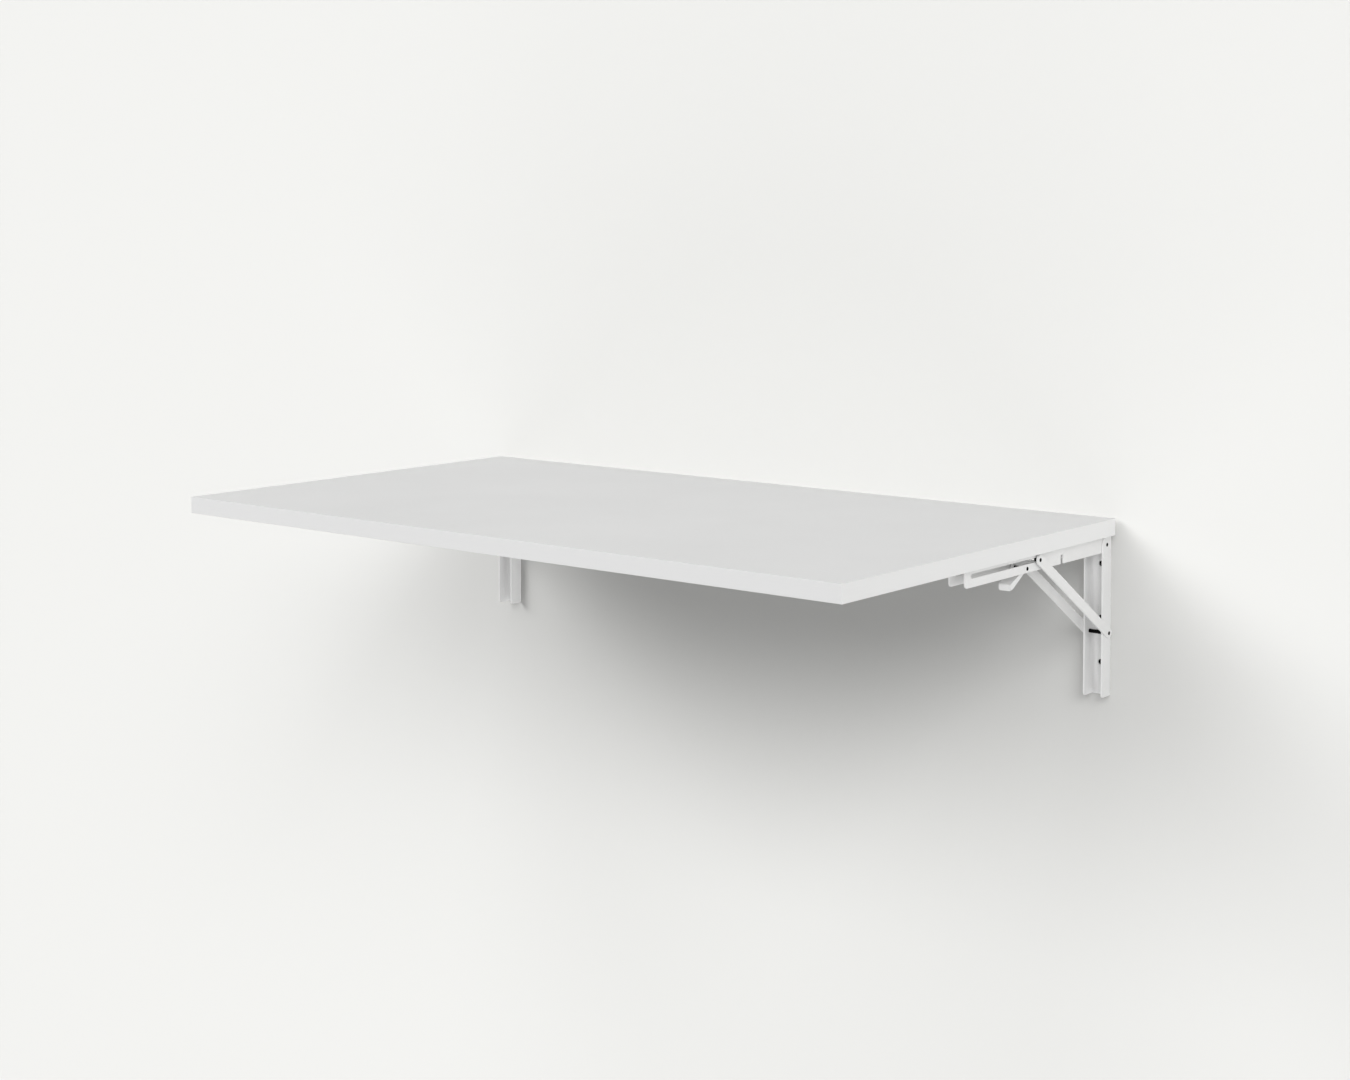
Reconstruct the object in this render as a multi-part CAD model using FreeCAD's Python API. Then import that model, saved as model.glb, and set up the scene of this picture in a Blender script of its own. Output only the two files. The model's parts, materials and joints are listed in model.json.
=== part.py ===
import FreeCAD, Part
import math
import os

# Wall mounted drop leaf table: one leaf on two folding brackets.
# Frame in millimetres: X runs along the wall, +Y points into the wall, +Z is up.
# The origin lies on the wall plane, in the middle of the four outer wall holes.

# Leaf: laminated board with a strip glued to each edge
leaf_length = 880.0
leaf_depth = 500.0
leaf_thickness = 18.0
leaf_wall_gap = 7.0
band_thickness = 1.0
band_edge_radius = 0.6
band_round_limit_share = 0.8

# Wall channel: pressed steel U, open to the front
channel_width = 22.0
channel_depth = 19.2
channel_wall = 1.5
channel_corner_radius = 3.0
channel_top_clearance = 0.5
bracket_inset = 7.5
bend_radius = 2.0

# Wall holes in the web of the channel
wall_hole_diameter = 6.0
upper_hole_drop = 32.0
hole_row_spacing = 104.0
middle_hole_drop = 57.0
channel_tail = 34.0

# Hinge between wall channel and rail
hinge_from_wall = 10.0
fold_clearance = 0.8
pin_diameter = 4.0
pin_clearance = 0.05

# Rail: pressed steel U under the leaf, open downwards
rail_wall = 1.5
rail_side_clearance = 0.2
rail_web_clearance = 0.5
rail_web_setback = 1.0
rail_end_margin = 13.0
rail_front_radius = 4.0
rail_rear_radius = 5.0
notch_clearance = 0.8

# Stay: two flat bars outside the channel and the rail
stay_bar_width = 10.6
stay_bar_thickness = 2.0
stay_side_clearance = 0.25
stay_leaf_clearance = 2.1
stay_wall_clearance = 3.2
stay_pivot_below_hinge = 93.0
slide_rest = 143.5
slot_clearance = 0.2
rivet_gap = 0.05

# Latch lever: two cheeks, joined by a sloped web that bends down into a finger tab
latch_ahead_of_pin = 19.0
latch_below_pin = 6.6
latch_pass_clearance = 0.5
lever_side_clearance = 1.1
lever_wall = 1.6
lever_heel_ahead = 3.0
lever_heel_below = 5.2
lever_heel_radius = 4.0
lever_brow_ahead = 3.5
lever_brow_radius = 2.0
web_slope = 24.0
web_back_ahead = 8.0
tab_ahead = 28.0
tab_top_below = 12.4
tab_foot_below = 18.8
tab_foot_depth = 1.8
tab_bend_radius = 2.4
tab_corner_radius = 2.2
lock_angle = 10.0
nose_gap = 0.3
nose_depth = 3.1
nose_wedge = 0.8
nose_edge_radius = 0.6

# Wood screws that hold the rail to the board
screw_diameter = 3.5
screw_cover = 4.5
screw_hole_clearance = 0.35
screw_head_diameter = 7.2
screw_head_height = 2.2
pilot_clearance = 0.05
pilot_spare_depth = 0.5
screw_place_shares = (0.10, 0.90)

# Length by which every cutting tool stands past the faces it cuts
overrun = 5.0

# Outline points closer together than this count as one
join_tolerance = 0.001

# Heights, counted from the middle of the outer wall holes
upper_hole_z = hole_row_spacing / 2
lower_hole_z = -hole_row_spacing / 2
middle_hole_z = upper_hole_z - middle_hole_drop
underside_z = upper_hole_z + upper_hole_drop
channel_bottom_z = lower_hole_z - channel_tail

# Hinge axis, set so that the folded leaf lies just in front of the channel
hinge_drop = channel_depth + fold_clearance - hinge_from_wall
hinge_y = -hinge_from_wall
hinge_z = underside_z - hinge_drop
pin_radius = pin_diameter / 2
bore_radius = pin_radius + pin_clearance

# Leaf edges
leaf_back_y = -leaf_wall_gap
leaf_front_y = leaf_back_y - leaf_depth
bracket_centre = leaf_length / 2 - bracket_inset - channel_width / 2

# Rail, sized to nest in the channel when the leaf hangs
rail_width = channel_width - 2 * channel_wall - 2 * rail_side_clearance
rail_height = hinge_from_wall + hinge_drop - channel_wall - rail_web_clearance
rail_below = rail_height - hinge_drop
rail_web_start = leaf_wall_gap - hinge_from_wall + rail_web_setback

# Stay geometry: the slide pin runs on a line at slide_up beside the hinge axis
slide_drop = stay_bar_width / 2 + stay_leaf_clearance
slide_up = hinge_drop - slide_drop
stay_pivot_back = hinge_from_wall - stay_bar_width / 2 - stay_wall_clearance
stay_length = math.hypot(slide_rest + stay_pivot_back, stay_pivot_below_hinge + slide_up)
stay_fold_side = slide_up + stay_pivot_back
slide_folded = stay_pivot_below_hinge + math.sqrt(stay_length ** 2 - stay_fold_side ** 2)
stay_inner_face = channel_width / 2 + stay_side_clearance
stay_outer_face = stay_inner_face + stay_bar_thickness
slot_radius = pin_radius + slot_clearance
rail_front = slide_folded + rail_end_margin

# Latch pivot and the height that the sliding pin must pass over
latch_ahead = slide_rest + latch_ahead_of_pin
latch_up = slide_up - latch_below_pin
latch_pass = latch_below_pin - pin_radius - latch_pass_clearance
lever_width = rail_width - 2 * rail_wall - 2 * lever_side_clearance

# Screws
screw_radius = screw_diameter / 2
screw_length = rail_wall + leaf_thickness - screw_cover


def vector(x, y, z):
    return FreeCAD.Vector(x, y, z)


def beside_hinge(x, ahead, up):
    """Point at a distance ahead of the hinge axis, towards the room, and above it."""
    return vector(x, hinge_y - ahead, hinge_z + up)


def rounded_wire(corners, place):
    """Closed wire through corners (a, b, radius), with a tangent arc at each rounded one."""
    runs = []
    count = len(corners)
    for index in range(count):
        a, b, radius = corners[index]
        before = corners[index - 1]
        after = corners[(index + 1) % count]
        back = math.atan2(before[1] - b, before[0] - a)
        on = math.atan2(after[1] - b, after[0] - a)
        half = abs(math.remainder(on - back, math.tau)) / 2
        reach = radius / math.tan(half)
        middle = back + math.remainder(on - back, math.tau) / 2
        inset = radius / math.sin(half) - radius
        entry = place(a + reach * math.cos(back), b + reach * math.sin(back))
        crest = place(a + inset * math.cos(middle), b + inset * math.sin(middle))
        leave = place(a + reach * math.cos(on), b + reach * math.sin(on))
        runs.append((radius, entry, crest, leave))
    edges = []
    for index in range(count):
        radius, entry, crest, leave = runs[index]
        following = runs[(index + 1) % count][1]
        if radius > 0:
            edges.append(Part.Arc(entry, crest, leave).toShape())
        if not leave.isEqual(following, join_tolerance):
            edges.append(Part.LineSegment(leave, following).toShape())
    return Part.Wire(edges)


def side_plate(x_from, x_to, corners):
    """Plate across X with its outline in the plane beside the hinge."""
    wire = rounded_wire(corners, lambda ahead, up: beside_hinge(x_from, ahead, up))
    return Part.Face(wire).extrude(vector(x_to - x_from, 0, 0))


def cross_rod(x_from, x_to, ahead, up, radius):
    """Round rod along X."""
    start = beside_hinge(x_from, ahead, up)
    return Part.makeCylinder(radius, x_to - x_from, start, vector(1, 0, 0))


def u_corners(width, depth, wall):
    """Section of a bent U, its web at zero and its two legs reaching to -depth."""
    half = width / 2
    return [
        (-half, -depth, 0),
        (-half, 0, bend_radius),
        (half, 0, bend_radius),
        (half, -depth, 0),
        (half - wall, -depth, 0),
        (half - wall, -wall, 0),
        (-half + wall, -wall, 0),
        (-half + wall, -depth, 0),
    ]


def box_outline(ahead_from, ahead_to, low, high, radii):
    """Four corners of an upright outline: rear low, rear high, front high, front low."""
    rear_low, rear_high, front_high, front_low = radii
    return [
        (ahead_from, low, rear_low),
        (ahead_from, high, rear_high),
        (ahead_to, high, front_high),
        (ahead_to, low, front_low),
    ]


def bar_corners(ahead, up, angle, length, width):
    """Round ended bar of a centre distance, from a point along an angle."""
    along = (math.cos(angle), math.sin(angle))
    across = (-math.sin(angle), math.cos(angle))
    half = width / 2
    ends = ((-half, half), (length + half, half), (length + half, -half), (-half, -half))
    return [
        (ahead + t * along[0] + n * across[0], up + t * along[1] + n * across[1], half)
        for t, n in ends
    ]


def wall_channel(centre):
    section = u_corners(channel_width, channel_depth, channel_wall)
    top_z = underside_z - channel_top_clearance
    wire = rounded_wire(section, lambda x, y: vector(centre + x, y, channel_bottom_z))
    channel = Part.Face(wire).extrude(vector(0, 0, top_z - channel_bottom_z))
    nose = channel_depth - hinge_from_wall
    outline = box_outline(
        -hinge_from_wall - overrun,
        nose,
        channel_bottom_z - hinge_z,
        top_z - hinge_z,
        (0, 0, nose, channel_corner_radius),
    )
    half = channel_width / 2 + overrun
    channel = channel.common(side_plate(centre - half, centre + half, outline))
    for hole_z in (upper_hole_z, middle_hole_z, lower_hole_z):
        start = vector(centre, -channel_wall - overrun, hole_z)
        drill = Part.makeCylinder(
            wall_hole_diameter / 2, channel_wall + 2 * overrun, start, vector(0, 1, 0)
        )
        channel = channel.cut(drill)
    for ahead, up in ((0, 0), (-stay_pivot_back, -stay_pivot_below_hinge)):
        channel = channel.cut(cross_rod(centre - half, centre + half, ahead, up, bore_radius))
    return channel


def screw_places():
    return [share * rail_front for share in screw_place_shares]


def rail(centre):
    half = rail_width / 2 + overrun
    inner_half = rail_width / 2 - rail_wall
    section = u_corners(rail_width, rail_height, rail_wall)
    wire = rounded_wire(section, lambda x, z: beside_hinge(centre + x, rail_front, hinge_drop + z))
    body = Part.Face(wire).extrude(vector(0, rail_front + rail_below, 0))
    outline = box_outline(
        -rail_below,
        rail_front,
        -rail_below,
        hinge_drop,
        (rail_below, rail_rear_radius, 0, rail_front_radius),
    )
    body = body.common(side_plate(centre - half, centre + half, outline))
    web_cut = box_outline(
        -rail_below - overrun, rail_web_start, 0, hinge_drop + overrun, (0, 0, 0, 0)
    )
    body = body.cut(side_plate(centre - inner_half, centre + inner_half, web_cut))
    slot = bar_corners(
        slide_rest, slide_up, 0, slide_folded - slide_rest, 2 * slot_radius
    )
    notch_half = pin_radius + notch_clearance
    notch = box_outline(
        stay_pivot_below_hinge - notch_half,
        stay_pivot_below_hinge + notch_half,
        -rail_below - overrun,
        notch_half - stay_pivot_back,
        (0, 0, 0, 0),
    )
    for cut in (slot, notch):
        body = body.cut(side_plate(centre - half, centre + half, cut))
    for ahead, up in ((0, 0), (latch_ahead, latch_up)):
        body = body.cut(cross_rod(centre - half, centre + half, ahead, up, bore_radius))
    for ahead in screw_places():
        start = beside_hinge(centre, ahead, hinge_drop - rail_wall - overrun)
        drill = Part.makeCylinder(
            screw_radius + screw_hole_clearance, rail_wall + 2 * overrun, start, vector(0, 0, 1)
        )
        body = body.cut(drill)
    return body


def stay_bar(x_low):
    """Stay bar from the wall pivot to the slide pin, as it stands with the leaf up."""
    start = (-stay_pivot_back, -stay_pivot_below_hinge)
    angle = math.atan2(slide_up + stay_pivot_below_hinge, slide_rest + stay_pivot_back)
    corners = bar_corners(start[0], start[1], angle, stay_length, stay_bar_width)
    bar = side_plate(x_low, x_low + stay_bar_thickness, corners)
    for ahead, up in (start, (slide_rest, slide_up)):
        drill = cross_rod(
            x_low - overrun, x_low + stay_bar_thickness + overrun, ahead, up, bore_radius
        )
        bar = bar.cut(drill)
    return bar


def stay_x_low(centre, side):
    """Lower X face of the stay bar on the given side of a bracket."""
    middle = centre + side * (stay_inner_face + stay_outer_face) / 2
    return middle - stay_bar_thickness / 2


def full_pin(centre, half_length, ahead, up):
    return cross_rod(centre - half_length, centre + half_length, ahead, up, pin_radius)


def stay_rivets(centre):
    """Pin ends riveted into the upper eyes of the two stay bars."""
    rods = []
    for side in (-1, 1):
        low = stay_x_low(centre, side)
        rods.append(cross_rod(low, low + stay_bar_thickness, slide_rest, slide_up, pin_radius))
    return Part.makeCompound(rods)


def lever_turned(ahead, up):
    """Point of the locked lever, from its pivot, after the lever is let go by the lock angle."""
    turn = math.radians(lock_angle)
    return (
        ahead * math.cos(turn) - up * math.sin(turn),
        ahead * math.sin(turn) + up * math.cos(turn),
    )


def latch_lever(centre):
    half = lever_width / 2
    turn = math.radians(lock_angle)
    slope = math.radians(web_slope)

    def plate(x_from, x_to, corners):
        placed = [(latch_ahead + a, latch_up + u, radius) for a, u, radius in corners]
        return side_plate(centre + x_from, centre + x_to, placed)

    # Cheeks, from the stop nose over the top edge, the web and the finger tab to the heel
    face = pin_radius + nose_gap - latch_ahead_of_pin
    nose_top_locked = (latch_pass - face * math.sin(turn)) / math.cos(turn)
    nose_top = lever_turned(face + nose_wedge / 2, nose_top_locked)
    nose_foot = lever_turned(face - nose_wedge / 2, nose_top_locked - nose_depth)
    web_back = (web_back_ahead, (tab_ahead - web_back_ahead) * math.tan(slope) - tab_top_below)
    bend = (tab_ahead, -tab_top_below, tab_bend_radius)
    foot = (tab_ahead, -tab_foot_below, 0)
    cheek = [
        (nose_foot[0], nose_foot[1], nose_edge_radius),
        (nose_top[0], nose_top[1], nose_edge_radius),
        (lever_brow_ahead, nose_top[1], lever_brow_radius),
        (web_back[0], web_back[1], 0),
        bend,
        foot,
        (tab_ahead - tab_foot_depth, -tab_foot_below, 0),
        (lever_heel_ahead, -lever_heel_below, lever_heel_radius),
    ]

    # Web and finger tab, one wall thick, with a sharp corner inside the bend
    inner_rise = lever_wall * math.tan(slope) - lever_wall / math.cos(slope)
    web = [
        (web_back[0], web_back[1], 0),
        bend,
        foot,
        (tab_ahead - lever_wall, -tab_foot_below, 0),
        (tab_ahead - lever_wall, inner_rise - tab_top_below, 0),
        (web_back[0] - lever_wall * math.sin(slope), web_back[1] - lever_wall * math.cos(slope), 0),
    ]
    lever = plate(-half, half, web).fuse(
        [plate(-half, lever_wall - half, cheek), plate(half - lever_wall, half, cheek)]
    ).removeSplitter()

    # Front outline, with rounded corners on the finger tab
    span = latch_ahead_of_pin + tab_ahead
    plan = [
        (-half, span, 0),
        (half, span, 0),
        (half, -tab_foot_below, tab_corner_radius),
        (-half, -tab_foot_below, tab_corner_radius),
    ]
    plan_wire = rounded_wire(
        plan, lambda x, up: beside_hinge(centre + x, latch_ahead - span, latch_up + up)
    )
    blank = Part.Face(plan_wire).extrude(vector(0, -2 * span, 0))
    bore = cross_rod(centre - half - overrun, centre + half + overrun, latch_ahead, latch_up, bore_radius)
    return lever.common(blank).cut(bore)


def screw_core(x, y, radius, length):
    """Round core standing up from the seat of a screw, on the underside of the rail's web."""
    seat = vector(x, y, underside_z - rail_wall)
    return Part.makeCylinder(radius, length, seat, vector(0, 0, 1))


def wood_screw(x, y):
    """Pan head screw pointing up, its head seated against the rail's web."""
    crown = vector(x, y, underside_z - rail_wall - screw_head_height)
    head = Part.makeCylinder(screw_head_diameter / 2, screw_head_height, crown, vector(0, 0, 1))
    return head.fuse(screw_core(x, y, screw_radius, screw_length))


def leaf_screws(centre):
    return Part.makeCompound(
        [wood_screw(centre, hinge_y - ahead) for ahead in screw_places()]
    )


def leaf_board():
    length = leaf_length - 2 * band_thickness
    depth = leaf_depth - 2 * band_thickness
    corner = vector(-length / 2, leaf_front_y + band_thickness, underside_z)
    board = Part.makeBox(length, depth, leaf_thickness, corner)
    pilot_radius = screw_radius + pilot_clearance
    pilot_length = screw_length + pilot_spare_depth
    for centre in (-bracket_centre, bracket_centre):
        for ahead in screw_places():
            board = board.cut(screw_core(centre, hinge_y - ahead, pilot_radius, pilot_length))
    return board


def edge_band(low, high, outward):
    """Strip between two corners, with the long edges of its outer face rounded."""
    size = high - low
    strip = Part.makeBox(size.x, size.y, size.z, low)
    radius = min(band_edge_radius, band_thickness * band_round_limit_share)
    centre = (low + high) / 2
    picked = []
    for edge in strip.Edges:
        middle = edge.CenterOfMass - centre
        outer = middle.dot(outward) > band_thickness / 4
        level = abs(middle.z) > size.z / 4
        if outer and level:
            picked.append(edge)
    return strip.makeFillet(radius, picked)


def edge_bands():
    half = leaf_length / 2
    top_z = underside_z + leaf_thickness
    inner_front = leaf_front_y + band_thickness
    inner_back = leaf_back_y - band_thickness
    boxes = {
        "front": ((-half, leaf_front_y), (half, inner_front), (0, -1)),
        "back": ((-half, inner_back), (half, leaf_back_y), (0, 1)),
        "left": ((-half, inner_front), (-half + band_thickness, inner_back), (-1, 0)),
        "right": ((half - band_thickness, inner_front), (half, inner_back), (1, 0)),
    }
    bands = {}
    for name, (low, high, outward) in boxes.items():
        bands["edge_band_" + name] = edge_band(
            vector(low[0], low[1], underside_z),
            vector(high[0], high[1], top_z),
            vector(outward[0], outward[1], 0),
        )
    return bands


def bracket(name, centre, outward):
    """All pieces of one bracket; outward points along X to the nearer end of the leaf."""
    pivot = (-stay_pivot_back, -stay_pivot_below_hinge)
    pieces = {
        "wall_channel": wall_channel(centre),
        "rail": rail(centre),
        "stay_bar_outer": stay_bar(stay_x_low(centre, outward)),
        "stay_bar_inner": stay_bar(stay_x_low(centre, -outward)),
        "hinge_pin": full_pin(centre, channel_width / 2, 0, 0),
        "stay_pivot_pin": full_pin(centre, stay_outer_face, pivot[0], pivot[1]),
        "slide_pin": full_pin(centre, stay_inner_face - rivet_gap, slide_rest, slide_up),
        "stay_rivets": stay_rivets(centre),
        "latch_lever": latch_lever(centre),
        "latch_pin": full_pin(centre, rail_width / 2, latch_ahead, latch_up),
        "leaf_screws": leaf_screws(centre),
    }
    return {piece + "_" + name: shape for piece, shape in pieces.items()}


def main():
    os.makedirs("parts", exist_ok=True)
    nodes = {"leaf_board": leaf_board()}
    nodes.update(edge_bands())
    nodes.update(bracket("left", -bracket_centre, -1))
    nodes.update(bracket("right", bracket_centre, 1))
    for name, shape in nodes.items():
        shape.exportStep("parts/" + name + ".step")


main()
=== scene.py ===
# Wall mounted drop leaf table: a white leaf on two folding steel brackets.
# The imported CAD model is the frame, and every piece here stands on one of its nodes.

import json
import math

import bmesh
import bpy
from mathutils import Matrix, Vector


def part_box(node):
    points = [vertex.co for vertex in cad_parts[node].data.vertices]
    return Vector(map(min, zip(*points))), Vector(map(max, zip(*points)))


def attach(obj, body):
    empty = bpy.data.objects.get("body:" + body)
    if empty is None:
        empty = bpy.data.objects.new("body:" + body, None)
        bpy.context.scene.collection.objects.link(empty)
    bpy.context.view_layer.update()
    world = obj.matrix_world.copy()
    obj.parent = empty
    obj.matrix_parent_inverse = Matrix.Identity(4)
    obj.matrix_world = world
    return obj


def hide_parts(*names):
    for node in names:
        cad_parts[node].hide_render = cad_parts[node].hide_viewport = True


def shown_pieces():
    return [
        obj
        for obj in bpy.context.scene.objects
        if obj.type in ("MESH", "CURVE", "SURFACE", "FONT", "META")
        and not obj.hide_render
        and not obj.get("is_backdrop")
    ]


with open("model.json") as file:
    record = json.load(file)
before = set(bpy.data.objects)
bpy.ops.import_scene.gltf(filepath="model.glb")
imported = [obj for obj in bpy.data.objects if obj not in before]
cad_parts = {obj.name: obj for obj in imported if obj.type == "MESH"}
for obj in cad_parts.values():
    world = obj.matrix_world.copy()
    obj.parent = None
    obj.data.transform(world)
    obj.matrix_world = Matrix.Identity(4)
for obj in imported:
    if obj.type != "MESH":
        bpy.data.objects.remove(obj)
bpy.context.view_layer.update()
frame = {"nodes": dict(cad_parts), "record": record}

record = frame["record"]
body_of_node = {}
for body, members in record["behaviour"]["bodies"].items():
    for member in members:
        body_of_node[member] = body
sides = ("left", "right")
along_x = Vector((1, 0, 0))
along_y = Vector((0, 1, 0))
along_z = Vector((0, 0, 1))
mm_per_metre = 1000

# Sizes in metres, taken from the frame where the frame holds them
hinge_low, hinge_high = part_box("hinge_pin_right")
pin_radius = (hinge_high.z - hinge_low.z) / 2
bar_low, bar_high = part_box("stay_bar_outer_right")
bar_thickness = bar_high.x - bar_low.x
board_low, board_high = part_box("leaf_board")
board_thickness = board_high.z - board_low.z

coat_edge_radius = bar_thickness * 0.16
pressed_edge_radius = bar_thickness * 0.13
laminate_edge_radius = board_thickness * 0.006
strip_edge_radius = board_thickness * 0.012
head_rise = pin_radius * 0.28
merge_distance = 1e-6

# Angles and counts of the meshes
flat_angle = math.radians(0.6)
crease_angle = math.radians(32)
edge_segments = 3
turning_steps = 36
dome_rows = 5
cross_arms = 4
rim_steps = 24

# The span that most values of a noise lie in
noise_span = (0.3, 0.7)


def feed(tree, socket, value):
    """Wires an output to a socket, or sets the socket to a plain value"""
    if isinstance(value, bpy.types.NodeSocket):
        tree.links.new(value, socket)
    else:
        socket.default_value = value


def feed_named(tree, node, wires):
    """Feeds a node's sockets by name"""
    for name, value in wires.items():
        feed(tree, node.inputs[name], value)


def tree_node(tree, kind, wires=None, **settings):
    """A node of a tree, with its settings and with its sockets fed by name"""
    node = tree.nodes.new(kind)
    for name, value in settings.items():
        setattr(node, name, value)
    feed_named(tree, node, wires or {})
    return node


def new_finish(name):
    """A material with an empty tree, its principled shader and the piece's own coordinates"""
    finish = bpy.data.materials.new(name)
    finish.use_nodes = True
    tree = finish.node_tree
    tree.nodes.clear()
    shader = tree_node(tree, "ShaderNodeBsdfPrincipled")
    tree_node(tree, "ShaderNodeOutputMaterial", {"Surface": shader.outputs["BSDF"]})
    place = tree_node(tree, "ShaderNodeTexCoord").outputs["Object"]
    return finish, tree, shader, place


def grey(level):
    """A linear colour without a hue"""
    return level, level, level


def noise(tree, place, scale, detail, roughness):
    """Noise in cycles per metre"""
    wires = {"Vector": place, "Scale": scale, "Detail": detail, "Roughness": roughness}
    return tree_node(tree, "ShaderNodeTexNoise", wires).outputs["Fac"]


def arithmetic(tree, operation, first, second=0):
    """One sum, product or other operation on one or two values"""
    node = tree_node(tree, "ShaderNodeMath", operation=operation)
    for socket, value in zip(node.inputs, (first, second)):
        feed(tree, socket, value)
    return node.outputs["Value"]


def weighed(tree, *shares):
    """The sum of several values, each times its share"""
    total = None
    for value, share in shares:
        part = arithmetic(tree, "MULTIPLY", value, share)
        total = part if total is None else arithmetic(tree, "ADD", total, part)
    return total


def spread(tree, value, span, to_span):
    """A value with one span stretched to another span"""
    wires = {"Value": value, "From Min": span[0], "From Max": span[1],
             "To Min": to_span[0], "To Max": to_span[1]}
    return tree_node(tree, "ShaderNodeMapRange", wires).outputs["Result"]


def tones(tree, factor, *stops):
    """A colour ramp from places and linear colours"""
    ramp = tree_node(tree, "ShaderNodeValToRGB", {"Fac": factor})
    elements = ramp.color_ramp.elements
    elements[0].position, elements[1].position = stops[0][0], stops[-1][0]
    elements[0].color = (*stops[0][1], 1)
    elements[1].color = (*stops[-1][1], 1)
    for position, colour in stops[1:-1]:
        elements.new(position).color = (*colour, 1)
    return ramp.outputs["Color"]


def bumped(tree, shader, *layers):
    """Bump layers on a shader: each is a height, its depth in metres and its strength"""
    normal = None
    for height, depth, strength in layers:
        wires = {"Height": height, "Distance": depth, "Strength": strength}
        if normal is not None:
            wires["Normal"] = normal
        normal = tree_node(tree, "ShaderNodeBump", wires).outputs["Normal"]
    tree.links.new(normal, shader.inputs["Normal"])


def turning_rings(tree, pitch):
    """A wave along a turned profile, with one ring in each pitch"""
    turning = tree_node(tree, "ShaderNodeAttribute", attribute_name="turning").outputs["Fac"]
    return arithmetic(tree, "SINE", arithmetic(tree, "MULTIPLY", turning, 2 * math.pi / pitch))


def shown_to_camera(tree):
    """1 on rays from the camera, straight or by way of a gloss or a clear sheet, and 0 on others"""
    path = tree_node(tree, "ShaderNodeLightPath").outputs
    by_way = arithmetic(tree, "MAXIMUM", path["Is Glossy Ray"], path["Is Transmission Ray"])
    return arithmetic(tree, "MAXIMUM", path["Is Camera Ray"], by_way)


# Finishes, in the own coordinates of each piece
def laminate_finish():
    """Matt white melamine face: a fine pearl grain pressed into it, and a slow drift of tone"""
    finish, tree, shader, place = new_finish("matt_white_laminate")
    dim = (0.716, 0.717, 0.718)
    pale = (0.759, 0.760, 0.761)
    pearl_depth = 0.00006
    speck_depth = 0.00002
    pearl = noise(tree, place, scale=640, detail=3.0, roughness=0.6)
    speck = noise(tree, place, scale=2600, detail=1.0, roughness=0.5)
    drift = noise(tree, place, scale=7, detail=2.0, roughness=0.5)
    mixed = weighed(tree, (pearl, 0.45), (speck, 0.2), (drift, 0.35))
    feed_named(tree, shader, {
        "Base Color": tones(tree, mixed, (0.34, dim), (0.66, pale)),
        "Roughness": spread(tree, pearl, noise_span, (0.58, 0.70)),
        "Specular IOR Level": 0.20})
    bumped(tree, shader, (pearl, pearl_depth, 0.35), (speck, speck_depth, 0.25))
    return finish


def strip_finish():
    """Matt white edge strip: faint streaks along its length from the die, and a fine grain"""
    finish, tree, shader, place = new_finish("matt_white_edge_strip")
    dim = (0.738, 0.739, 0.738)
    pale = (0.757, 0.757, 0.754)
    streak_cycles = (9, 9, 1500)
    streak_depth = 0.000012
    grain_depth = 0.00003
    stretched = tree_node(tree, "ShaderNodeMapping", {"Vector": place, "Scale": streak_cycles})
    streak = noise(tree, stretched.outputs["Vector"], scale=1, detail=2.0, roughness=0.6)
    grain = noise(tree, place, scale=1300, detail=2.0, roughness=0.6)
    mixed = weighed(tree, (streak, 0.35), (grain, 0.65))
    feed_named(tree, shader, {
        "Base Color": tones(tree, mixed, (0.34, dim), (0.66, pale)),
        "Roughness": spread(tree, streak, noise_span, (0.48, 0.56)),
        "Specular IOR Level": 0.35})
    bumped(tree, shader, (streak, streak_depth, 0.3), (grain, grain_depth, 0.3))
    return finish


def coat_finish(name, dim, pale, roughness_span):
    """White powder coat: orange peel, fine grain of the powder and small darker pits"""
    finish, tree, shader, place = new_finish(name)
    pit_cycles = 420.0
    pit_reach = 0.16
    peel_depth = 0.00007
    grain_depth = 0.00002
    peel = noise(tree, place, scale=900, detail=1.5, roughness=0.45)
    grain = noise(tree, place, scale=3200, detail=2.0, roughness=0.6)
    drift = noise(tree, place, scale=40, detail=2.0, roughness=0.5)
    cells = tree_node(tree, "ShaderNodeTexVoronoi", {"Vector": place, "Scale": pit_cycles})
    pit = spread(tree, cells.outputs["Distance"], (0.0, pit_reach), (1.0, 0.0))
    mixed = weighed(tree, (peel, 0.4), (grain, 0.25), (drift, 0.35), (pit, -0.10))
    feed_named(tree, shader, {
        "Base Color": tones(tree, mixed, (0.32, dim), (0.66, pale)),
        "Roughness": spread(tree, peel, noise_span, roughness_span),
        "Specular IOR Level": 0.45})
    bumped(tree, shader, (peel, peel_depth, 0.4), (grain, grain_depth, 0.25))
    return finish


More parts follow.
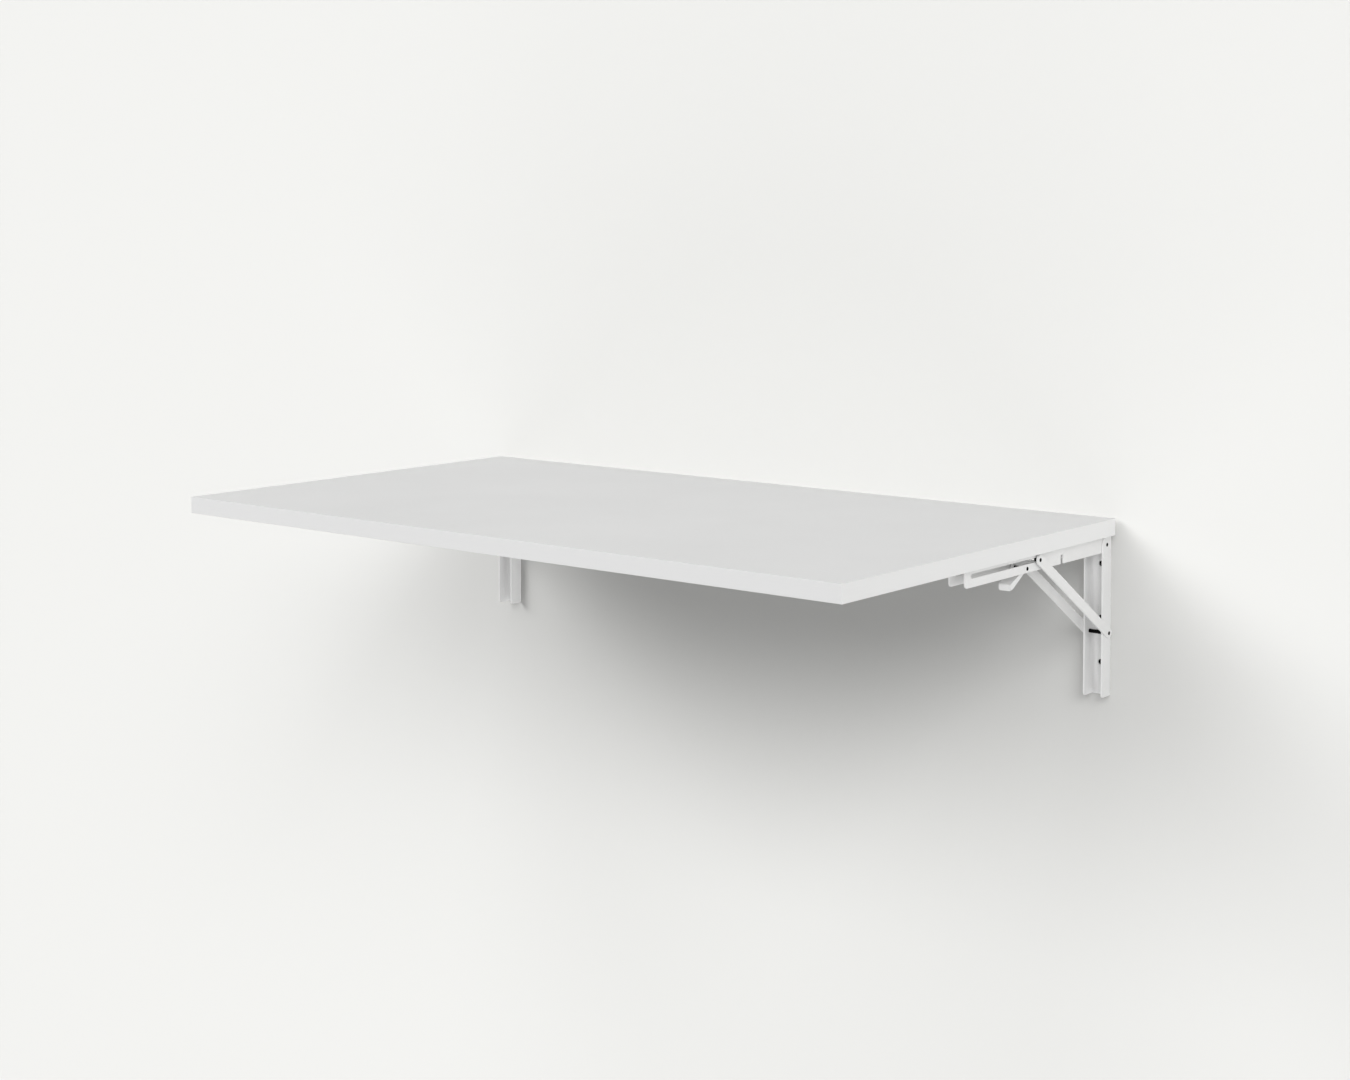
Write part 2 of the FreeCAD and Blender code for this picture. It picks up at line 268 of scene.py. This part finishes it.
def blackened_finish(name, rubbed=None):
    """Blackened steel pins: turning rings under a blotchy, dull oxide, which is rubbed off to bright
    steel between two distances from the middle of the leaf where those are given"""
    finish, tree, shader, place = new_finish(name)
    ring_pitch = 0.00016
    ring_depth = 0.00001
    oxide_depth = 0.00003
    ring = turning_rings(tree, ring_pitch)
    oxide = noise(tree, place, scale=700, detail=3.0, roughness=0.6)
    mixed = weighed(tree, (oxide, 0.8), (spread(tree, ring, (-1, 1), (0, 1)), 0.2))
    colour = tones(tree, mixed, (0.35, grey(0.001)), (0.62, grey(0.003)), (0.80, grey(0.008)))
    rough = spread(tree, oxide, noise_span, (0.48, 0.66))
    if rubbed:
        near, far = rubbed
        blur = 0.0005
        steel_dim = (0.56, 0.56, 0.55)
        steel_pale = (0.70, 0.70, 0.69)
        steel_smoother = 0.18
        sideways = tree_node(tree, "ShaderNodeSeparateXYZ", {"Vector": place}).outputs["X"]
        aside = arithmetic(tree, "ABSOLUTE", sideways)
        past_near = spread(tree, aside, (near - blur, near), (0, 1))
        before_far = spread(tree, aside, (far, far + blur), (1, 0))
        band = arithmetic(tree, "MULTIPLY", past_near, before_far)
        bare = arithmetic(tree, "MULTIPLY", band, spread(tree, oxide, (0.30, 0.50), (0.55, 1.0)))
        steel = tones(tree, mixed, (0.35, steel_dim), (0.80, steel_pale))
        worn = tree_node(tree, "ShaderNodeMix", data_type="RGBA")
        sockets = {socket.identifier: socket for socket in (*worn.inputs, *worn.outputs)}
        feed(tree, sockets["Factor_Float"], bare)
        feed(tree, sockets["A_Color"], colour)
        feed(tree, sockets["B_Color"], steel)
        colour = sockets["Result_Color"]
        rough = arithmetic(tree, "SUBTRACT", rough, arithmetic(tree, "MULTIPLY", bare, steel_smoother))
        feed(tree, shader.inputs["Metallic"], bare)
    feed_named(tree, shader, {"Base Color": colour, "Roughness": rough, "Specular IOR Level": 0.05})
    bumped(tree, shader, (ring, ring_depth, 0.35), (oxide, oxide_depth, 0.3))
    return finish


def zinc_finish():
    """Zinc plated screws: bright metal with a cloudy passivated skin and turning rings"""
    finish, tree, shader, place = new_finish("zinc_plate")
    dim = (0.44, 0.45, 0.47)
    middle = (0.56, 0.57, 0.59)
    pale = (0.66, 0.66, 0.65)
    ring_pitch = 0.0002
    ring_depth = 0.000006
    cloud_depth = 0.00002
    ring = turning_rings(tree, ring_pitch)
    cloud = noise(tree, place, scale=450, detail=4.0, roughness=0.65)
    feed_named(tree, shader, {
        "Base Color": tones(tree, cloud, (0.32, dim), (0.52, middle), (0.70, pale)),
        "Roughness": spread(tree, cloud, noise_span, (0.26, 0.46)),
        "Metallic": 1.0})
    bumped(tree, shader, (ring, ring_depth, 0.3), (cloud, cloud_depth, 0.3))
    return finish


laminate = laminate_finish()
edge_strip = strip_finish()
powder_coat = coat_finish(
    "white_powder_coat", (0.716, 0.716, 0.713), (0.762, 0.761, 0.757), roughness_span=(0.38, 0.52))
# A lighter copy of the white coat for the rounded edges: its paler colour is a painted highlight where
# the edges catch light, and it is a little smoother too
coat_edge_highlight = coat_finish(
    "powder_coat_edge_highlights", (0.735, 0.735, 0.731), (0.785, 0.784, 0.779), roughness_span=(0.30, 0.44))
blackened_steel = blackened_finish("blackened_steel")
lever_low, lever_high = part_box("latch_lever_right")
rubbed_steel = blackened_finish("blackened_steel_rubbed", (lever_low.x, lever_high.x))
zinc_plate = zinc_finish()


# Pieces
def shown(name, mesh):
    """An object for a mesh, at the origin, in the scene"""
    piece = bpy.data.objects.new(name, mesh)
    bpy.context.scene.collection.objects.link(piece)
    return piece


def made_plain(piece):
    """The piece's modifiers worked into a plain mesh"""
    depsgraph = bpy.context.evaluated_depsgraph_get()
    plain = bpy.data.meshes.new_from_object(
        piece.evaluated_get(depsgraph), preserve_all_data_layers=True, depsgraph=depsgraph)
    raw = piece.data
    piece.modifiers.clear()
    piece.data = plain
    bpy.data.meshes.remove(raw)


def mesh_of(form, name):
    """A mesh of a finished form, which is then freed"""
    mesh = bpy.data.meshes.new(name)
    form.to_mesh(mesh)
    form.free()
    return mesh


def stands_for(piece, *nodes):
    """The finished piece takes the place and the body of CAD nodes, which are hidden"""
    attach(piece, body_of_node[nodes[0]])
    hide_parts(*nodes)


def softened(node, edge_radius, face_finish, edge_finish):
    """Makes a piece from a CAD node, with its sharp edges rounded as a coat or a scraper leaves them"""
    form = bmesh.new()
    form.from_mesh(frame["nodes"][node].data)
    bmesh.ops.remove_doubles(form, verts=form.verts, dist=merge_distance)
    bmesh.ops.dissolve_limit(form, angle_limit=flat_angle, verts=form.verts, edges=form.edges)
    for face in form.faces:
        face.smooth = True
        face.material_index = 0
    rounding = form.edges.layers.float.new("bevel_weight_edge")
    for edge in form.edges:
        if edge.calc_face_angle(0.0) > crease_angle:
            edge[rounding] = 1.0 if edge.is_convex else 0.0
            edge.smooth = edge.is_convex
    mesh = mesh_of(form, node + "_finished")
    finishes = list(dict.fromkeys((face_finish, edge_finish)))
    for finish in finishes:
        mesh.materials.append(finish)
    piece = shown(node + "_finished", mesh)
    edges = piece.modifiers.new("rounded_edges", "BEVEL")
    edges.width = edge_radius
    edges.segments = edge_segments
    edges.limit_method = "WEIGHT"
    edges.miter_outer = "MITER_ARC"
    # The rounded edge faces take the edge finish, which on the brackets is painted lighter as a
    # highlight
    edges.material = len(finishes) - 1
    shading = piece.modifiers.new("even_shading", "WEIGHTED_NORMAL")
    shading.keep_sharp = True
    made_plain(piece)
    stands_for(piece, node)


softened("leaf_board", laminate_edge_radius, laminate, laminate)
for place in ("front", "back", "left", "right"):
    softened("edge_band_" + place, strip_edge_radius, edge_strip, edge_strip)
for side in sides:
    for pressed in ("wall_channel_", "rail_", "latch_lever_"):
        softened(pressed + side, pressed_edge_radius, powder_coat, coat_edge_highlight)
    for bar in ("stay_bar_outer_", "stay_bar_inner_"):
        softened(bar + side, coat_edge_radius, powder_coat, coat_edge_highlight)


def turned(form, start, along, across, profile):
    """Adds a turned body to a form, from profile points of distance and radius, with the length
    of its profile kept on each point for the turning marks"""
    turning = form.verts.layers.float.get("turning") or form.verts.layers.float.new("turning")
    third = along.cross(across)
    rows = []
    travelled = 0.0
    before = None
    for distance, radius in profile:
        if before is not None:
            travelled += math.dist(before, (distance, radius))
        before = (distance, radius)
        steps = turning_steps if radius else 1
        row = []
        for step in range(steps):
            angle = 2 * math.pi * step / steps
            outward = across * math.cos(angle) + third * math.sin(angle)
            point = form.verts.new(start + along * distance + outward * radius)
            point[turning] = travelled
            row.append(point)
        rows.append(row)
    for near, far in zip(rows, rows[1:]):
        for step in range(turning_steps):
            corners = (near[step % len(near)], far[step % len(far)],
                       far[(step + 1) % len(far)], near[(step + 1) % len(near)])
            form.faces.new(tuple(dict.fromkeys(corners))).smooth = True
    bmesh.ops.recalc_face_normals(form, faces=form.faces)


def pin_profile(length, radius, first_head, last_head):
    """Distances and radii of a pin, with a domed head past each end that has one, else a flat end"""
    ends = []
    for head in (first_head, last_head):
        rows = [(0.0, 0.0), (0.0, radius)]
        if head:
            rows = [(-head, 0.0)]
            for step in range(1, dome_rows + 1):
                angle = math.pi / 2 * step / dome_rows
                rows.append((-head * math.cos(angle), radius * math.sin(angle)))
        ends.append(rows)
    return ends[0] + [(length - distance, reach) for distance, reach in reversed(ends[1])]


def set_out_tree():
    """Geometry Nodes that set one form out at every point"""
    tree = bpy.data.node_groups.new("set_out_fasteners", "GeometryNodeTree")
    tree.is_modifier = True
    tree.interface.new_socket(name="Points", in_out="INPUT", socket_type="NodeSocketGeometry")
    form_input = tree.interface.new_socket(name="Form", in_out="INPUT", socket_type="NodeSocketObject")
    tree.interface.new_socket(name="Fasteners", in_out="OUTPUT", socket_type="NodeSocketGeometry")
    given = tree.nodes.new("NodeGroupInput").outputs
    form = tree_node(tree, "GeometryNodeObjectInfo", {"Object": given["Form"], "As Instance": True})
    copies = tree_node(tree, "GeometryNodeInstanceOnPoints", {
        "Points": given["Points"], "Instance": form.outputs["Geometry"]})
    real = tree_node(tree, "GeometryNodeRealizeInstances", {"Geometry": copies.outputs["Instances"]})
    tree_node(tree, "NodeGroupOutput", {"Fasteners": real.outputs["Geometry"]})
    return tree, form_input.identifier


set_out, set_out_form = set_out_tree()


def set_out_copies(name, form_mesh, points, finish, nodes):
    """Makes one piece with a copy of a form at each point, standing for CAD nodes of one body"""
    form_mesh.materials.clear()
    form_mesh.materials.append(finish)
    form = shown(name + "_form", form_mesh)
    places = bpy.data.meshes.new(name)
    places.from_pydata([tuple(point) for point in points], [], [])
    piece = shown(name, places)
    copies = piece.modifiers.new("copies", "NODES")
    copies.node_group = set_out
    copies[set_out_form] = form
    made_plain(piece)
    bpy.data.objects.remove(form)
    bpy.data.meshes.remove(form_mesh)
    stands_for(piece, *nodes)


def pins(name, nodes, starts, bodies, finish):
    """Makes pins of turned bodies, each a start, a direction along X and a profile, set out at points"""
    form = bmesh.new()
    for start, along, profile in bodies:
        turned(form, start, along, along_y, profile)
    set_out_copies(name, mesh_of(form, name + "_form"), starts, finish, nodes)


def pin_measures(node):
    """The middle of a pin's left end, its length and its radius"""
    low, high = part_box(node)
    start = Vector((low.x, (low.y + high.y) / 2, (low.z + high.z) / 2))
    return start, high.x - low.x, (high.z - low.z) / 2


for pin in ("hinge_pin", "stay_pivot_pin", "latch_pin"):
    nodes = [pin + "_" + side for side in sides]
    measures = [pin_measures(node) for node in nodes]
    starts = [measure[0] for measure in measures]
    length, radius = measures[0][1:]
    profile = pin_profile(length, radius, head_rise, head_rise)
    pins(pin + "s", nodes, starts, [(Vector(), along_x, profile)], blackened_steel)
for side in sides:
    slide_pin = "slide_pin_" + side
    start, length, radius = pin_measures(slide_pin)
    flat = pin_profile(length, radius, 0.0, 0.0)
    pins(slide_pin + "_turned", [slide_pin], [start], [(Vector(), along_x, flat)], rubbed_steel)
    rivets = "stay_rivets_" + side
    low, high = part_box(rivets)
    middle = Vector(((low.x + high.x) / 2, start.y, start.z))
    inner_end = (high.x - low.x) / 2 - bar_thickness
    headed = pin_profile(bar_thickness, radius, 0.0, head_rise)
    pair = [(along_x * inner_end, along_x, headed), (along_x * -inner_end, -along_x, headed)]
    pins(rivets + "_set", [rivets], [middle], pair, blackened_steel)


def screw_form(seat_to_top, head_radius, shank_radius, shank_length):
    """A pan head wood screw, point up, with its head below and a thread round its shank"""
    form = bmesh.new()
    rim = seat_to_top * 0.35
    head = [(-seat_to_top, 0.0)]
    for step in range(1, dome_rows + 1):
        angle = math.pi / 2 * step / dome_rows
        head.append((-rim - (seat_to_top - rim) * math.cos(angle), head_radius * math.sin(angle)))
    head += [(0.0, head_radius), (0.0, shank_radius)]
    pitch = shank_radius * 1.1
    neck = shank_radius * 0.9
    point = shank_radius * 2.2
    core = shank_radius * 0.68
    rows = int((shank_length - neck) / pitch) * 2
    shank = [(neck, shank_radius)]
    for row in range(1, rows):
        distance = neck + (shank_length - neck) * row / rows
        slim = min(1.0, (shank_length - distance) / point)
        shank.append((distance, (shank_radius if row % 2 else core) * slim))
    shank.append((shank_length, 0.0))
    turned(form, Vector(), along_z, along_x, head + shank)
    return mesh_of(form, "leaf_screw_turned")


def recess_cutter(mouth_reach, floor_reach, width, mouth_height, floor_height):
    """A tapered cross that a driver bit fits, from its mouth to its floor"""
    form = bmesh.new()
    half = width / 2
    rings = []
    for height, reach in ((mouth_height, mouth_reach), (floor_height, floor_reach)):
        ring = []
        for arm in range(cross_arms):
            angle = 2 * math.pi / cross_arms * arm
            ahead = Vector((math.cos(angle), math.sin(angle), 0))
            aside = Vector((-ahead.y, ahead.x, 0))
            for forward, sideways in ((half, -half), (reach, -half), (reach, half)):
                ring.append(form.verts.new(ahead * forward + aside * sideways + along_z * height))
        rings.append(ring)
    outer, inner = rings
    form.faces.new(outer)
    form.faces.new(inner)
    for step in range(len(outer)):
        after = (step + 1) % len(outer)
        form.faces.new((outer[step], outer[after], inner[after], inner[step]))
    bmesh.ops.recalc_face_normals(form, faces=form.faces)
    return mesh_of(form, "driver_recess")


screw_low, screw_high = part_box("leaf_screws_right")
head_radius = (screw_high.x - screw_low.x) / 2
head_height = head_radius * 0.6
shank_radius = head_radius * 0.47
recess_reach = head_radius * 0.55
seat = screw_low.z + head_height
screw = shown("leaf_screw", screw_form(head_height, head_radius, shank_radius, screw_high.z - seat))
cutter = shown("driver_recess", recess_cutter(
    mouth_reach=recess_reach * 1.15, floor_reach=recess_reach * 0.35, width=head_radius * 0.24,
    mouth_height=-head_height * 1.2, floor_height=-head_height * 0.25))
recess = screw.modifiers.new("recess", "BOOLEAN")
recess.object = cutter
recess.operation = "DIFFERENCE"
recess.solver = "EXACT"
made_plain(screw)
screw_mesh = screw.data
bpy.data.objects.remove(screw)
bpy.data.objects.remove(cutter)
screw_places = []
for side in sides:
    low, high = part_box("leaf_screws_" + side)
    for y in (low.y + head_radius, high.y - head_radius):
        screw_places.append(Vector(((low.x + high.x) / 2, y, seat)))
set_out_copies("leaf_screws_set", screw_mesh, screw_places, zinc_plate,
               ["leaf_screws_" + side for side in sides])


# Stage: the wall that carries the brackets, a pale floor, and near black discs on the wall as painted
# shade for drilled holes, which are wider than those of the brackets so that only their dark shows
# through
wall_gap = 0.0004
wall_reach = 7.0
wall_height = 4.0
floor_level = -1.15
wall_colour = (0.502, 0.502, 0.491)
hole_shade_colour = grey(0.002)
floor_colour_lit = grey(0.22)
floor_colour_shown = grey(0.56)
hole_widening = 1.3


def flat_sheet(name, corners, finish):
    """One flat face of the stage"""
    mesh = bpy.data.meshes.new(name)
    mesh.from_pydata(corners, [], [tuple(range(len(corners)))])
    mesh.materials.append(finish)
    sheet = shown(name, mesh)
    sheet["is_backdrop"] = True
    return sheet


def one_sided(name, colour):
    """A plain matt colour that shows from the front only, so that views from behind look through it"""
    finish, tree, shader = new_finish(name)[:3]
    feed_named(tree, shader, {"Base Color": (*colour, 1), "Roughness": 0.9, "Specular IOR Level": 0.1})
    clear = tree_node(tree, "ShaderNodeBsdfTransparent")
    behind = tree_node(tree, "ShaderNodeNewGeometry").outputs["Backfacing"]
    mixed = tree_node(tree, "ShaderNodeMixShader")
    for socket, value in zip(mixed.inputs, (behind, shader.outputs["BSDF"], clear.outputs["BSDF"])):
        feed(tree, socket, value)
    output = next(node for node in tree.nodes if node.type == "OUTPUT_MATERIAL")
    feed(tree, output.inputs["Surface"], mixed.outputs["Shader"])
    return finish


def floor_finish():
    """A pale floor that gives back little light to the object from below"""
    finish, tree, shader = new_finish("pale_floor")[:3]
    colour = tones(tree, shown_to_camera(tree), (0.0, floor_colour_lit), (1.0, floor_colour_shown))
    feed_named(tree, shader, {"Base Color": colour, "Roughness": 0.9})
    return finish


wall = flat_sheet("wall", [
    (-wall_reach, wall_gap, floor_level), (wall_reach, wall_gap, floor_level),
    (wall_reach, wall_gap, wall_height), (-wall_reach, wall_gap, wall_height),
], one_sided("wall_paint", wall_colour))
floor = flat_sheet("floor", [
    (-wall_reach, -wall_reach, floor_level), (wall_reach, -wall_reach, floor_level),
    (wall_reach, wall_reach, floor_level), (-wall_reach, wall_reach, floor_level),
], floor_finish())
floor.visible_diffuse = False
floor.visible_shadow = False

# Near black discs that show from the front only: painted shade standing for the holes in the wall
hole_shade = one_sided("drilled_hole", hole_shade_colour)
mounts = {mount["name"]: mount for mount in record["mounts"]}
holes = mounts["wall_screws"]["dims"]
rim_radius = holes["hole_r_mm"] / mm_per_metre * hole_widening
hole_aside = holes["spacing_x_mm"] / mm_per_metre / 2
hole_above = holes["spacing_y_mm"] / mm_per_metre / 2
middle_above = mounts["wall_screws_middle"]["pos_m"][2]
hole_heights = {"upper": hole_above, "middle": middle_above, "lower": -hole_above}
for side, middle_x in zip(sides, (-hole_aside, hole_aside)):
    for row, height in hole_heights.items():
        rim = []
        for step in range(rim_steps):
            angle = 2 * math.pi * step / rim_steps
            rim.append((middle_x + rim_radius * math.cos(angle), wall_gap / 2,
                        height + rim_radius * math.sin(angle)))
        flat_sheet("drilled_hole_" + row + "_" + side, rim, hole_shade)

# Camera: at the photograph's place and nearly level, with its frame shifted down, so that the
# brackets stand upright in the picture as they do in the photograph
camera_place = (1.4942, -2.0392, 0.4303)
camera_turn = math.radians(38.968)
camera_dip = math.radians(2.494)
camera_lens_mm = 57.769
camera_sensor_mm = 36.0
camera_shift = -0.18
camera_sight = 50.0
camera_data = bpy.data.cameras.new("photo_camera")
camera_data.sensor_fit = "HORIZONTAL"
camera_data.sensor_width = camera_sensor_mm
camera_data.lens = camera_lens_mm
camera_data.shift_y = camera_shift
camera_data.clip_end = camera_sight
camera = bpy.data.objects.new("photo_camera", camera_data)
camera.location = camera_place
camera.rotation_euler = (math.pi / 2 - camera_dip, 0, camera_turn)
bpy.context.scene.collection.objects.link(camera)
bpy.context.scene.camera = camera

# Light: soft lamps for the wall and soft lamps for the table, so that the wall keeps a deep soft
# shadow while the table is lit evenly, a lamp from behind for views of the back, and a pale dome.
# Each lamp has its degrees aside of straight ahead, its degrees above and its level. The last three
# wall lamps stand low, so that the leaf also shades the wall above it a little
wall_lamps = (
    (-50, 29, 0.260), (-25, 27, 0.541), (25, 27, 0.377), (50, 28, 0.490), (0, 45, 0.082),
    (-12, 65, 0.204), (-30, -38, 0.075), (30, -38, 0.075), (0, -60, 0.090))
table_lamps = ((48, 30, 0.200), (25, 5, 0.350), (-50, 5, 0.185), (-75, 60, 0.320), (70, -8, 0.165))
rear_lamp = (180, -2, 0.42)
wall_lamp_width = 28
table_lamp_width = 30
rear_lamp_width = 4
lamp_distance = 4

table_pieces = bpy.data.collections.new("table_pieces")
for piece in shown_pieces():
    table_pieces.objects.link(piece)
backdrop = bpy.data.collections.new("backdrop")
backdrop.objects.link(wall)
backdrop.objects.link(floor)


def soft_lamp(name, place_and_level, width, lights_up, shaded_by=None):
    """A far soft lamp: its place, the level that a white sheet turned to it would show, its width
    in degrees, the pieces that it lights and, if not all of them, the pieces that shade it"""
    aside, above, level = place_and_level
    data = bpy.data.lights.new(name, "SUN")
    data.energy = level * math.pi
    data.angle = math.radians(width)
    lamp = bpy.data.objects.new(name, data)
    aside = math.radians(aside)
    above = math.radians(above)
    outward = math.cos(above)
    back = Vector((math.sin(aside) * outward, -math.cos(aside) * outward, math.sin(above)))
    lamp.location = back * lamp_distance
    lamp.rotation_euler = back.to_track_quat("Z", "Y").to_euler()
    bpy.context.scene.collection.objects.link(lamp)
    lamp.light_linking.receiver_collection = lights_up
    lamp.light_linking.blocker_collection = shaded_by


for lamp in wall_lamps:
    soft_lamp("wall_lamp", lamp, wall_lamp_width, backdrop)
for lamp in table_lamps:
    soft_lamp("table_lamp", lamp, table_lamp_width, table_pieces)
soft_lamp("rear_lamp", rear_lamp, rear_lamp_width, table_pieces, table_pieces)

dome_above = 0.155
dome_below = 0.500
dome_shown = 0.93
horizon_span = (-0.1, 0.1)
world = bpy.data.worlds.new("pale_dome")
bpy.context.scene.world = world
world.use_nodes = True
sky = world.node_tree
sky.nodes.clear()
direction = tree_node(sky, "ShaderNodeTexCoord").outputs["Generated"]
upward = tree_node(sky, "ShaderNodeSeparateXYZ", {"Vector": direction}).outputs["Z"]
lit = spread(sky, upward, horizon_span, (dome_below, dome_above))
rest = arithmetic(sky, "SUBTRACT", dome_shown, lit)
strength = arithmetic(sky, "ADD", lit, arithmetic(sky, "MULTIPLY", rest, shown_to_camera(sky)))
dome = tree_node(sky, "ShaderNodeBackground", {"Color": (1, 1, 1, 1), "Strength": strength})
tree_node(sky, "ShaderNodeOutputWorld", {"Surface": dome.outputs["Background"]})
bpy.context.scene.view_settings.view_transform = "Standard"
